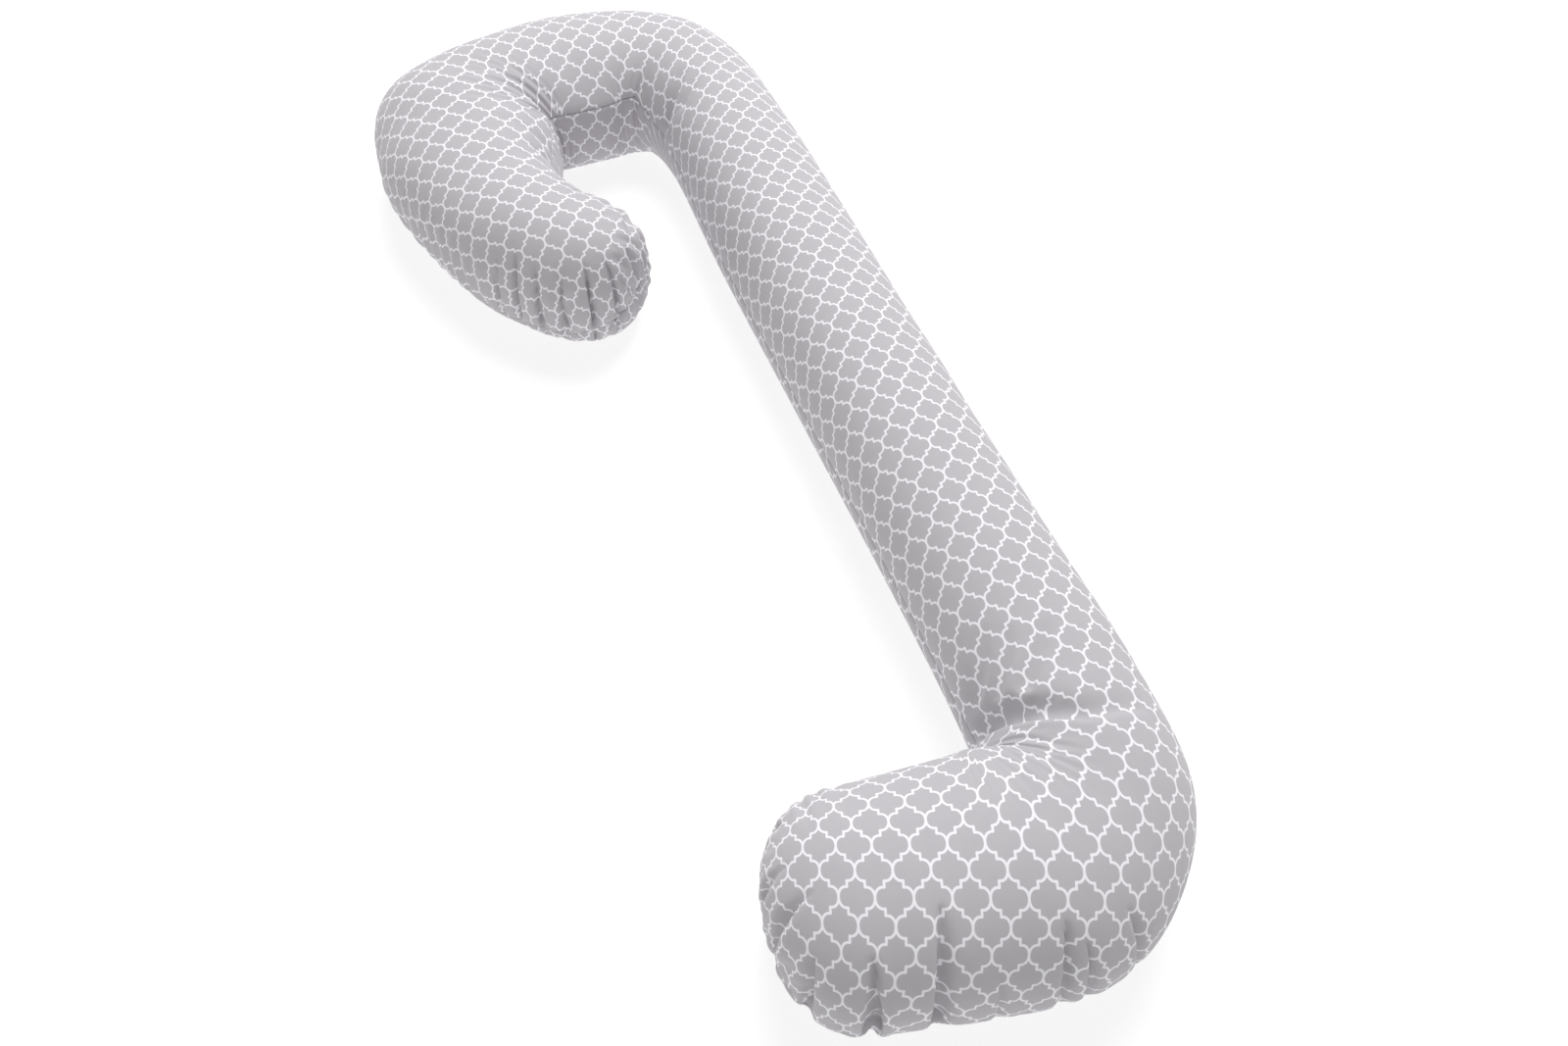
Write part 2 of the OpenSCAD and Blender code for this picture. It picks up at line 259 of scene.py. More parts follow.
def unbend(t):
    """Turn from the flat cut to the stuffed pillow, which its filling bends further."""
    return np.radians(np.interp(t, [2.5, 5, 9.5, 12], [-15, 0, 0, 3]))


def flat_cut(net, panel):
    """One panel laid flat, rows by columns, with the fabric's real lengths."""
    middle = net.cols // 2
    body = np.where(net.body)[0]
    width = distance(panel[:, 1:], panel[:, :-1]).sum(axis=1)
    half = smooth(width[body] / 2, 60)
    turn = -unbend(net.t[body])
    c, s = np.cos(turn), np.sin(turn)
    rot = np.stack([np.stack([c, -s], axis=1), np.stack([s, c], axis=1)], axis=1)
    steps = np.diff(net.centre[body], axis=0)
    longer = distance(panel[body[1:], middle], panel[body[:-1], middle]) / np.linalg.norm(steps, axis=1)
    steps = steps * smooth(longer, 30)[:, None]
    path = np.einsum("nij,nj->ni", (rot[1:] + rot[:-1]) / 2, steps)
    path = np.concatenate([[[0, 0]], np.cumsum(path, axis=0)])
    anchor = np.argmin(np.abs(net.t[body] - (ZIP_FIRST + ZIP_LAST) / 2))
    path += net.centre[body[anchor]] - path[anchor]
    out = np.einsum("nij,nj->ni", rot, net.out[body])
    # the inner edge never runs backwards, however tight the bend
    heading = np.unwrap(np.arctan2(out[:, 1], out[:, 0]))
    bend = np.abs(np.append(np.diff(heading) / np.linalg.norm(np.diff(path, axis=0), axis=1), 0))
    inner_half = smooth(np.minimum(half, 0.8 / np.maximum(smooth(bend, 30), 1e-6)), 20)
    flat = np.zeros((net.rows, net.cols, 2))
    share = net.y[body]
    sideways = share * np.where(share > 0, half[:, None], inner_half[:, None])
    flat[body] = path[:, None] + out[:, None] * sideways[..., None]
    ux, uy = net.directions()
    for cap, row in ((net.foot, 0), (net.hook, -1)):
        line = np.where(cap)[0] if row else np.where(cap)[0][::-1]
        ridge = panel[np.append(body[row], line), middle]
        reach = distance(ridge[1:], ridge[:-1]).sum()
        ahead = rot[row] @ net.ahead[line[0]]
        forward, sideways = ux[cap] * net.from_middle[cap], uy[cap] * net.from_middle[cap]
        sideways = sideways * np.where(sideways > 0, half[row], inner_half[row])
        flat[cap] = path[row] + (forward * reach)[..., None] * ahead + sideways[..., None] * out[row]
    return flat


# ---------------------------------------------------------------- folds that the filling makes

# Pleats where the seam's thread gathers the fabric, in millimetres: a place on the seam, the heading
# of the pleat inwards in degrees, then its half width, length and depth. A pleat with a negative
# width is steep on its right side, and the others are steep on their left.
PLEATS = [
    (-155, -690, 60, -5, 32, 15),
    (-105, -725, 75, -6, 42, 19),
    (-55, -740, 70, 7, 75, 20),
    (0, -750, 85, 4, 18, 8),
    (55, -760, 75, 5, 45, 17),
    (80, -760, 90, 4, 24, 12),
    (130, -750, 105, 4, 28, 10),
    (-140, -520, -40, 4, 30, 7),
    (-170, -585, 0, 5, 40, 8),
    (-165, -630, 15, -5, 45, 11),
    (-190, 270, 30, 3, 18, 8),
    (-170, 250, 40, 3, 22, 12),
    (-150, 220, 55, 3, 25, 13),
    (-120, 200, 60, -3, 20, 12),
    (-85, 185, 85, 3, 28, 14),
    (-45, 190, 120, -3, 24, 12),
    (-15, 215, 140, 3, 18, 8),
]

# Creases across the top in the two bends, in millimetres: points from the inner edge outwards, the
# depth at the inner edge, and the widths on the foot's side and on the other side
CREASES = [
    ([(80, -500), (120, -530), (170, -560), (235, -570)], 17, 4, 16),
    ([(100, -490), (120, -465), (135, -435)], 6, 4, 12),
    ([(115, -500), (140, -470), (155, -445)], 6, 4, 12),
    ([(140, -510), (170, -480), (185, -460)], 6, 4, 12),
    ([(110, 475), (135, 490), (155, 510)], 10, 3, 12),
    ([(130, 460), (150, 475), (170, 490)], 7, 3, 10),
    ([(-60, 470), (-90, 490), (-120, 500)], 4, 3, 9),
    ([(-70, 440), (-100, 450), (-120, 455)], 4, 3, 9),
]
SEAM_RIDGE = 7 * MM         # how far the tight inner seam of the head stands out
LUMPS = 1.2 * MM            # unevenness of the filling
# shares of the folds' depth that are pressed broadly into the filled shape, and sharply into the mesh
BROAD_PLEAT, BROAD_CREASE = 0.3, 0.6
SHARP_PLEAT, SHARP_CREASE = 0.8, 0.6
RIM_KEPT, RIM_RAMP = 3 * MM, 11 * MM


def seam_distance(net, panel):
    """How far each point of a panel is from the seam, along the fabric."""
    width = distance(panel[:, 1:], panel[:, :-1]).sum(axis=1)
    return (1 - net.from_middle) * width[:, None] / 2


def pleat_depth(points, broad=1.0):
    """How deep the pleats press each point. Each drops steeply on one side and rises slowly again."""
    depth = np.zeros(points.shape[:-1])
    for x, y, heading, width, length, deep in PLEATS:
        inwards = np.array([math.cos(math.radians(heading)), math.sin(math.radians(heading))])
        offset = points[..., :2] - MM * np.array([x, y])
        along = offset @ inwards
        aside = offset @ np.array([-inwards[1], inwards[0]]) * np.sign(width)
        fade = np.clip(1 - along / (length * MM), 0, 1) ** 0.6 * (along > -50 * MM)
        narrow = abs(width) * MM * (0.3 + 0.7 * fade) * np.where(aside > 0, 0.4, 1.4) * broad
        valley = np.exp(-np.abs(aside / narrow) ** 1.6)
        depth = np.maximum(depth, deep * MM * fade * valley)
    return depth * np.clip(points[..., 2] / (45 * MM), 0, 1)


def crease_depth(panel):
    """How deep the creases in the bends press each point of the top panel."""
    total = np.zeros(panel.shape[:-1])
    for points, deep, foot_side, other_side in CREASES:
        line = MM * np.array(points, float)
        lengths = np.linalg.norm(np.diff(line, axis=0), axis=1)
        nearest = np.full(total.shape, np.inf)
        depth = np.zeros(total.shape)
        run = 0
        for a, b, length in zip(line[:-1], line[1:], lengths):
            ahead = (b - a) / length
            offset = panel[..., :2] - a
            along = np.clip(offset @ ahead, 0, length)
            gap = offset - along[..., None] * ahead
            away = np.linalg.norm(gap, axis=-1)
            width = np.where(gap[..., 1] < 0, foot_side, other_side) * MM
            fade = np.clip(1 - (run + along) / lengths.sum(), 0, 1) ** 0.7
            value = deep * MM * fade * np.exp(-((away / width) ** 2))
            depth = np.where(away < nearest, value, depth)
            nearest = np.minimum(away, nearest)
            run += length
        total = np.maximum(total, depth)
    return total * np.clip((panel[..., 2] - SEAM) / (30 * MM), 0, 1)


def normals(points, faces):
    """Unit normals at the points of a mesh of quads."""
    a, b, c, d = (points[faces[:, k]] for k in range(4))
    face = np.cross(c - a, d - b)
    total = np.stack([
        sum(np.bincount(faces[:, k], face[:, axis], minlength=len(points)) for k in range(4))
        for axis in range(3)
    ], axis=1)
    return total / np.maximum(np.linalg.norm(total, axis=1, keepdims=True), 1e-12)


def quads(index, flip):
    a, b, c, d = index[:-1, :-1], index[:-1, 1:], index[1:, 1:], index[1:, :-1]
    return np.stack([a, b, c, d] if flip else [a, d, c, b], axis=-1).reshape(-1, 4)


def ring(index):
    """The edge of a grid of indices, once round from its first corner."""
    return np.concatenate([index[0], index[1:, -1], index[-1, -2::-1], index[-2:0:-1, 0]])


def outward_faces(net, shape):
    """The faces of both panels, turned so that their normals look out of the pillow."""
    faces = np.concatenate([quads(net.top, True), quads(net.bottom, False)])
    crown = net.top[net.rows // 2, net.cols // 2]
    return faces if normals(shape, faces)[crown, 2] > 0 else faces[:, ::-1]


def uneven(seed, net, rounds):
    """A random field over one panel, evened out, with a standard deviation of 1."""
    field = np.random.default_rng(seed).normal(0, 1, net.top.shape)
    field = smooth(smooth(field, rounds, 0), rounds, 1)
    return field / field.std()


def filled_shape(net, top, bottom, faces):
    """The smooth shape with the folds and lumps of its filling, which the fabric is drawn over."""
    smooth_shape = net.join(top, bottom)
    facing = normals(smooth_shape, faces)
    lumps = LUMPS * uneven(3, net, 60) * np.clip(seam_distance(net, top) / (60 * MM), 0, 1)
    head = np.interp(net.t, [9, 10, 14.5, 16], [0, 1, 1, 0])[:, None]
    inner = (net.y < 0) & net.body[:, None]
    ridges = [
        SEAM_RIDGE * head * inner * np.exp(-seam_distance(net, panel) / (14 * MM))
        for panel in (top, bottom)
    ]
    over = ridges[0] + lumps - BROAD_PLEAT * pleat_depth(top, 1.5) - BROAD_CREASE * crease_depth(top)
    under = ridges[1] - BROAD_PLEAT * pleat_depth(bottom, 1.5)
    shape = smooth_shape + facing * net.join(over[..., None], under[..., None])
    shape[:, 2] = np.maximum(shape[:, 2], 0)
    return shape


# ---------------------------------------------------------------- the cloth solver

PASSES = 220
PRESSURE = 2e-5             # outward step of the filling at each pass
STIFF, SHEAR, BENDING = 1.0, 0.3, 0.2
HOLD = 0.01                 # share of the way back to the filling's shape at each pass
KEPT_SPEED = 0.9
MOST_SLACK = 1.6            # how many times its length the fabric may be eased in
RIPPLE = 0.6 * MM           # unevenness that the first pass starts from


def slack(net):
    """Share of the cut's extra length that is still there, as some of it is eased into the seam."""
    places, shares = [0, 1.5, 3.5, 5, 9, 10, 14, 16], [0.3, 0.12, 0.12, 0.6, 0.6, 0.3, 0.3, 0.5]
    body = np.interp(net.t, places, shares)
    along = np.where(net.foot, 0.3, np.where(net.hook, 0.45, body))
    return along[:, None]


def springs(net, panel, flat, index):
    """Lengths that the solver keeps, in sets whose springs share no point: ends, length, stiffness."""
    flat = np.concatenate([flat, 0 * flat[..., :1]], axis=2)
    ease = slack(net)
    long_now, wide_now = distance(panel[1:], panel[:-1]), distance(panel[:, 1:], panel[:, :-1])
    long_cut, wide_cut = distance(flat[1:], flat[:-1]), distance(flat[:, 1:], flat[:, :-1])
    ratio = np.clip(long_cut / np.maximum(long_now, 1e-6), 1, MOST_SLACK)
    ratio = 1 + (smooth(smooth(ratio, 4), 1, 1) - 1) * (ease[1:] + ease[:-1]) / 2
    long_rest = long_now * ratio
    ratio = np.clip(wide_cut / np.maximum(wide_now, 1e-6), 1, MOST_SLACK)
    wide_rest = wide_now * np.where(net.body[:, None], 1, 1 + (ratio - 1) * ease)
    now = np.hypot(long_now[:, 1:] + long_now[:, :-1], wide_now[1:] + wide_now[:-1])
    rest = np.hypot(long_rest[:, 1:] + long_rest[:, :-1], wide_rest[1:] + wide_rest[:-1])
    slant = distance(panel[1:, 1:], panel[:-1, :-1]) * rest / now
    other_slant = distance(panel[1:, :-1], panel[:-1, 1:]) * rest / now
    long_two = distance(panel[2:], panel[:-2])
    long_two = long_two * (long_rest[1:] + long_rest[:-1]) / (long_now[1:] + long_now[:-1])
    wide_two = distance(panel[:, 2:], panel[:, :-2])
    wide_two = wide_two * (wide_rest[:, 1:] + wide_rest[:, :-1]) / (wide_now[:, 1:] + wide_now[:, :-1])
    sets = []
    for first in (0, 1):
        sets.append((index[first:-1:2], index[first + 1::2], long_rest[first::2], STIFF))
        sets.append((index[:, first:-1:2], index[:, first + 1::2], wide_rest[:, first::2], STIFF))
        sets.append((index[first:-1:2, :-1], index[first + 1::2, 1:], slant[first::2], SHEAR))
        sets.append((index[first:-1:2, 1:], index[first + 1::2, :-1], other_slant[first::2], SHEAR))
        rows = np.where(np.arange(net.rows - 2) % 4 // 2 == first)[0]
        cols = np.where(np.arange(net.cols - 2) % 4 // 2 == first)[0]
        sets.append((index[rows], index[rows + 2], long_two[rows], BENDING))
        sets.append((index[:, cols], index[:, cols + 2], wide_two[:, cols], BENDING))
    return [(a.ravel(), b.ravel(), rest.ravel(), k) for a, b, rest, k in sets]


def drape(net, top, bottom, top_flat, bottom_flat):
    """The cover at rest over its filling: the points of the whole net."""
    faces = outward_faces(net, net.join(top, bottom))
    shape = filled_shape(net, top, bottom, faces)
    facing = normals(shape, faces)
    on_seam = net.top.size
    sets = springs(net, top, top_flat, net.top)
    for a, b, rest, k in springs(net, bottom, bottom_flat, net.bottom):
        inside = (a >= on_seam) | (b >= on_seam)
        sets.append((a[inside], b[inside], rest[inside], k))
    free = net.join(np.ones(top.shape[:2]), 1.0 * (bottom[..., 2] > 1.5 * MM))
    zipped = net.body & (net.t > ZIP_FIRST - 0.1) & (net.t < ZIP_LAST + 0.1)
    free[net.top[zipped, -1]] = 0
    # how far the fabric may move in and out from the filled shape, least beside the seam
    edge = seam_distance(net, top) / MM
    dent = MM * np.interp(edge, [0, 15, 50, 100], [1.5, 9, 6, 4])
    bulge = MM * np.interp(edge, [0, 15], [1, 6])
    dent, bulge = net.join(dent, dent), net.join(bulge, bulge)
    ripple = uneven(7, net, 8)
    ripple = net.join(ripple, ripple[::-1]) * RIPPLE
    points = shape + facing * (ripple * free)[:, None]
    speed = np.zeros_like(points)
    for step in range(PASSES):
        if step % 5 == 0:
            push = normals(points, faces) * (PRESSURE * free)[:, None]
        new = points + KEPT_SPEED * speed + push
        new += (shape - new) * (HOLD * free)[:, None]
        for a, b, rest, k in sets:
            gap = new[b] - new[a]
            length = np.maximum(np.sqrt((gap * gap).sum(axis=1)), 1e-9)
            wa, wb = free[a], free[b]
            move = (k * (length - rest) / length / np.maximum(wa + wb, 1e-9))[:, None] * gap
            new[a] += move * wa[:, None]
            new[b] -= move * wb[:, None]
        lift = ((new - shape) * facing).sum(axis=1)
        new += facing * (np.clip(lift, -dent, bulge) - lift)[:, None]
        new[:, 2] = np.maximum(new[:, 2], 0)
        speed, points = new - points, new
    return points


# ---------------------------------------------------------------- meshes

def make_mesh(name, points, faces):
    mesh = bpy.data.meshes.new(name)
    mesh.from_pydata(np.asarray(points).reshape(-1, 3).tolist(), [], np.asarray(faces).tolist())
    mesh.update()
    for polygon in mesh.polygons:
        polygon.use_smooth = True
    piece = bpy.data.objects.new(name, mesh)
    bpy.context.scene.collection.objects.link(piece)
    return piece


def set_print_map(piece, flat):
    """Fabric coordinates in metres, one for each point."""
    layer = piece.data.uv_layers.new(name="print")
    index = np.empty(len(piece.data.loops), np.int32)
    piece.data.loops.foreach_get("vertex_index", index)
    layer.data.foreach_set("uv", flat.reshape(-1, 2)[index].astype(np.float32).ravel())


def subdivide(piece):
    modifier = piece.modifiers.new("subdivide", "SUBSURF")
    modifier.levels = modifier.render_levels = 1


def press_pleats(piece, rim):
    """Subdivides a panel and presses the sharp part of the pleats into the finer mesh.

    They end beside the rim, where both panels have to meet.
    """
    subdivide(piece)
    graph = bpy.context.evaluated_depsgraph_get()
    fine = bpy.data.meshes.new_from_object(
        piece.evaluated_get(graph), preserve_all_data_layers=True, depsgraph=graph)
    piece.modifiers.clear()
    piece.data = fine
    points, facing = np.empty(3 * len(fine.vertices)), np.empty(3 * len(fine.vertices))
    fine.vertices.foreach_get("co", points)
    fine.vertex_normals.foreach_get("vector", facing)
    points, facing = points.reshape(-1, 3), facing.reshape(-1, 3)
    tree = KDTree(len(rim))
    for place, point in enumerate(rim):
        tree.insert(point, place)
    tree.balance()
    away = np.array([tree.find(point)[2] for point in points])
    depth = SHARP_PLEAT * pleat_depth(points) + SHARP_CREASE * crease_depth(points) * (facing[:, 2] > 0)
    depth *= np.clip((away - RIM_KEPT) / RIM_RAMP, 0, 1)
    fine.vertices.foreach_set("co", (points - facing * depth[:, None]).ravel())
    fine.update()


def with_edges(grid, turned, near=0.2):
    """A grid with one more row close beside each edge, and one beyond the edge that is turned in."""
    for axis in (0, 1):
        g, e = np.moveaxis(grid, axis, 0), np.moveaxis(turned, axis, 0)
        first, last = g[:1] + (g[1:2] - g[:1]) * near, g[-1:] + (g[-2:-1] - g[-1:]) * near
        g = np.concatenate([e[:1], g[:1], first, g[1:-1], last, g[-1:], e[-1:]])
        e = np.concatenate([e[:1], e[:1], e[:1], e[1:-1], e[-1:], e[-1:], e[-1:]])
        grid, turned = np.moveaxis(g, 0, axis), np.moveaxis(e, 0, axis)
    return grid


def tube(path, radius, side, corners=6):
    """Points and faces of a thread along a path. Side is a direction that isn't along the path."""
    ahead = np.gradient(path, axis=0)
    ahead /= np.linalg.norm(ahead, axis=1, keepdims=True)
    across = np.cross(ahead, side)
    across /= np.linalg.norm(across, axis=1, keepdims=True)
    other = np.cross(ahead, across)
    angle = np.linspace(0, 2 * math.pi, corners, endpoint=False)[:, None]
    ring = np.cos(angle) * across[:, None] + np.sin(angle) * other[:, None]
    points = (path[:, None] + radius * ring).reshape(-1, 3)
    index = np.arange(len(points)).reshape(len(path), corners)
    faces = quads(np.concatenate([index, index[:, :1]], axis=1), True)
    ends = [index[0, [0, 1, 2, 3]], index[-1, [3, 2, 1, 0]]] if corners == 4 else []
    return points, np.concatenate([faces, ends]) if ends else faces


def tubes(name, paths, radius, side, corners=6):
    """One piece from several threads."""
    points, faces, count = [], [], 0
    for path in paths:
        p, f = tube(path, radius, side, corners)
        points.append(p)
        faces.append(f + count)
        count += len(p)
    return make_mesh(name, np.concatenate(points), np.concatenate(faces))


# ---------------------------------------------------------------- materials

class Wire:
    """A value in a node tree that ordinary arithmetic builds math nodes from."""

    def __init__(self, tree, socket):
        self.tree, self.socket = tree, socket

    def math(self, operation, *others, clamp=False):
        node = self.tree.nodes.new("ShaderNodeMath")
        node.operation, node.use_clamp = operation, clamp
        for place, value in enumerate((self, *others)):
            if isinstance(value, Wire):
                self.tree.links.new(value.socket, node.inputs[place])
            else:
                node.inputs[place].default_value = value
        return Wire(self.tree, node.outputs[0])

    def __add__(self, other):
        return self.math("ADD", other)

    def __sub__(self, other):
        return self.math("SUBTRACT", other)

    def __mul__(self, other):
        return self.math("MULTIPLY", other)

    def __truediv__(self, other):
        return self.math("DIVIDE", other)

    def __pow__(self, other):
        return self.math("POWER", other)

    def to(self, socket):
        self.tree.links.new(self.socket, socket)


def material(name, colour, rough, metal=0.0, sheen=0.0):
    made = bpy.data.materials.new(name)
    made.use_nodes = True
    shader = made.node_tree.nodes["Principled BSDF"]
    shader.inputs["Base Color"].default_value = (*colour, 1)
    shader.inputs["Roughness"].default_value = rough
    shader.inputs["Metallic"].default_value = metal
    shader.inputs["Sheen Weight"].default_value = sheen
    return made, made.node_tree, shader


def noise(tree, place, scale, detail=2.0):
    node = tree.nodes.new("ShaderNodeTexNoise")
    node.inputs["Scale"].default_value = scale
    node.inputs["Detail"].default_value = detail
    tree.links.new(place, node.inputs["Vector"])
    return Wire(tree, node.outputs[0])


def mixed(tree, factor, a, b):
    """A colour between a and b, each a colour or a socket."""
    node = tree.nodes.new("ShaderNodeMix")
    node.data_type = "RGBA"
    factor.to(node.inputs["Factor"])
    for socket, value in ((node.inputs[6], a), (node.inputs[7], b)):
        if isinstance(value, tuple):
            socket.default_value = (*value, 1)
        else:
            tree.links.new(value, socket)
    return node.outputs[2]


def bump(tree, shader, height, distance, strength=1.0):
    node = tree.nodes.new("ShaderNodeBump")
    node.inputs["Strength"].default_value = strength
    node.inputs["Distance"].default_value = distance
    height.to(node.inputs["Height"])
    tree.links.new(node.outputs[0], shader.inputs["Normal"])


def object_place(tree):
    return tree.nodes.new("ShaderNodeTexCoord").outputs["Object"]


def axes(tree, place):
    node = tree.nodes.new("ShaderNodeSeparateXYZ")
    tree.links.new(place, node.inputs[0])
    return [Wire(tree, socket) for socket in node.outputs]


def weave(u, v, thread):
    """Height of a plain weave at fabric coordinates, from 0 to 1."""
    a = (u * (math.pi / thread)).math("SINE")
    b = (v * (math.pi / thread)).math("SINE")
    return a * b * 0.5 + 0.5


# the printed lattice: motif width, step from row to row, width of its lines and turn on the cloth
MOTIF, PRINT_ROW, LINE = 32.5 * MM, 22 * MM, 2.3 * MM
PRINT_TURN = math.radians(-5.5)
LOBE, LOBE_POWER = 0.385 * PRINT_ROW, 2.1
SHELF = 1.3 * MM            # flat step between a side lobe and the upright line above it


def lattice(u, v):
    """1 on the printed lines, 0 inside the motifs, from flat fabric coordinates."""
    c, s = math.cos(PRINT_TURN), math.sin(PRINT_TURN)
    x = (u * c + v * s).math("PINGPONG", MOTIF / 2)
    y = (v * c - u * s).math("PINGPONG", PRINT_ROW)
    # a quarter of a motif is drawn, and the next row's is the same one turned about its corner
    next_row = y.math("GREATER_THAN", PRINT_ROW / 2)
    x = x - next_row * (x * 2 - MOTIF / 2)
    y = y - next_row * (y * 2 - PRINT_ROW)
    # the side lobe is a superellipse's arc, and its distance is the value over the slope
    start, reach = MOTIF / 4 + SHELF, MOTIF / 4 - SHELF
    a = (x - start).math("MAXIMUM", 0.0) / reach
    b = y / LOBE
    total = (a**LOBE_POWER + b**LOBE_POWER).math("MAXIMUM", 1e-6)
    slope_x = a ** (LOBE_POWER - 1) / reach
    slope_y = b ** (LOBE_POWER - 1) / LOBE
    slope = (slope_x * slope_x + slope_y * slope_y).math("SQRT") * total ** (1 / LOBE_POWER - 1)
    arc = (total ** (1 / LOBE_POWER) - 1.0).math("ABSOLUTE") / slope.math("MAXIMUM", 1.0)
    arc = arc + (x - start).math("LESS_THAN", 0.0)
    # above it come a short flat step and a short upright line
    aside, below = x - MOTIF / 4, (y * -1.0 + LOBE).math("MAXIMUM", 0.0)
    upright = (aside * aside + below * below).math("SQRT")
    off_step, above = (aside * -1.0).math("MAXIMUM", x - start).math("MAXIMUM", 0.0), y - LOBE
    flat_step = (off_step * off_step + above * above).math("SQRT")
    soft = 0.25 * MM
    nearest = arc.math("MINIMUM", upright).math("MINIMUM", flat_step)
    return (nearest * -1.0 + (LINE / 2 + soft)).math("DIVIDE", 2 * soft, clamp=True)


def cover_material():
    made, tree, shader = material("cover_print", (0.5, 0.5, 0.5), 0.85, sheen=0.15)
    node = tree.nodes.new("ShaderNodeUVMap")
    node.uv_map = "print"
    place = node.outputs[0]
    u, v, _ = axes(tree, place)
    worn = noise(tree, place, 60, 4.0)
    grey = mixed(tree, worn, (0.475, 0.455, 0.485), (0.515, 0.495, 0.52))
    white = mixed(tree, worn, (0.86, 0.85, 0.89), (0.90, 0.89, 0.92))
    tree.links.new(mixed(tree, lattice(u, v), grey, white), shader.inputs["Base Color"])
    (worn * 0.1 + 0.8).to(shader.inputs["Roughness"])
    bump(tree, shader, weave(u, v, 0.45 * MM) + noise(tree, place, 900) * 0.6, 0.08 * MM, 0.6)
    return made


def woven_material(name, colour, thread, sheen=0.1, rough=0.85):
    """Plain woven cloth, on object coordinates."""
    made, tree, shader = material(name, colour, rough, sheen=sheen)
    place = object_place(tree)
    x, y, z = axes(tree, place)
    shade = noise(tree, place, 80, 3.0)
    darker = tuple(0.93 * c for c in colour)
    tree.links.new(mixed(tree, shade, colour, darker), shader.inputs["Base Color"])
    (shade * 0.1 + (rough - 0.05)).to(shader.inputs["Roughness"])
    bump(tree, shader, weave(x + z, y, thread), 0.1 * MM, 0.7)
    return made


def plain_material(name, colour, rough, metal=0.0, grain=400):
    """Metal, plastic or thread, with a slightly uneven finish."""
    made, tree, shader = material(name, colour, rough, metal)
    place = object_place(tree)
    shade = noise(tree, place, grain, 3.0)
    darker = tuple(0.9 * c for c in colour)
    tree.links.new(mixed(tree, shade, colour, darker), shader.inputs["Base Color"])
    (shade * 0.12 + (rough - 0.06)).to(shader.inputs["Roughness"])
    bump(tree, shader, shade, 0.02 * MM, 0.5)
    return made


COVER = cover_material()
CASING = woven_material("casing_cotton", (0.82, 0.81, 0.78), 0.5 * MM)
FIBRE = plain_material("fibre", (0.88, 0.88, 0.87), 0.95, grain=150)
TAPE = woven_material("zip_tape", (0.70, 0.68, 0.71), 0.4 * MM)
NYLON = plain_material("zip_nylon", (0.80, 0.79, 0.81), 0.4)
METAL = plain_material("zip_metal", (0.72, 0.72, 0.73), 0.28, metal=1.0)
THREAD = plain_material("thread", (0.78, 0.77, 0.78), 0.75)
SATIN = woven_material("label_satin", (0.88, 0.88, 0.88), 0.2 * MM, sheen=0.3, rough=0.4)


def dress(piece, made, *nodes, body="pillow"):
    """Gives a new piece its material and its body, and hides the CAD nodes that it stands for."""
    piece.data.materials.append(made)
    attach(piece, body)
    if nodes:
        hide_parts(*nodes)
    return piece


# ---------------------------------------------------------------- cover

ZIP_OPENING = 5.7 * MM
SEAM_GROOVE = 1.2 * MM
ALLOWANCE = 4 * MM
ALLOWANCE_APART, FOLD_HIGH = 0.6 * MM, 4.4 * MM
HEAD_MIDDLE = 12.5          # the ladder's place in the middle of the head

net = Net()
smooth_top, smooth_bottom = panel_surface(net, False), panel_surface(net, True)
top_cut, bottom_cut = flat_cut(net, smooth_top), flat_cut(net, smooth_bottom)
cover_points = drape(net, smooth_top, smooth_bottom, top_cut, bottom_cut)
smooth_shape = net.join(smooth_top, smooth_bottom)
outward = normals(smooth_shape, outward_faces(net, smooth_shape))
ON_ZIP = np.where(net.body, np.interp(net.t, [5.9, 6, 8, 8.1], [0, 1, 1, 0]), 0)


def open_zip(grid, shift):
    """Moves the outer edge beside the zip by shift, and the column next to it along the fabric."""
    grid[:, -1] += shift * ON_ZIP[:, None]
    beside = grid[:, -1] + 0.4 * (grid[:, -3] - grid[:, -1])
    grid[:, -2] += (beside - grid[:, -2]) * ON_ZIP[:, None]


def squared_to_seam(panel, cut):
    """The bottom panel's print, turned so that its rows follow the seam on the head's inner wall."""
    run = np.append(0, np.cumsum(distance(panel[1:, 0], panel[:-1, 0])))
    inwards = np.cumsum(distance(panel[:, 1:], panel[:, :-1]), axis=1)
    inwards = np.concatenate([0 * inwards[:, :1], inwards], axis=1)
    middle = np.argmin(np.abs(net.t - HEAD_MIDDLE))
    c, s = math.cos(PRINT_TURN), math.sin(PRINT_TURN)
    straight = cut[middle, 0] - (run - run[middle])[:, None, None] * np.array([c, s])
    straight = straight + inwards[..., None] * np.array([-s, c])
    share = np.interp(net.t, [9, 9.8, 15.2, 16.2], [0, 1, 1, 0])[:, None] * net.body[:, None]
    share = share * np.interp(-net.y, [0.05, 0.4], [0, 1])
    return cut + (straight - cut) * share[..., None]


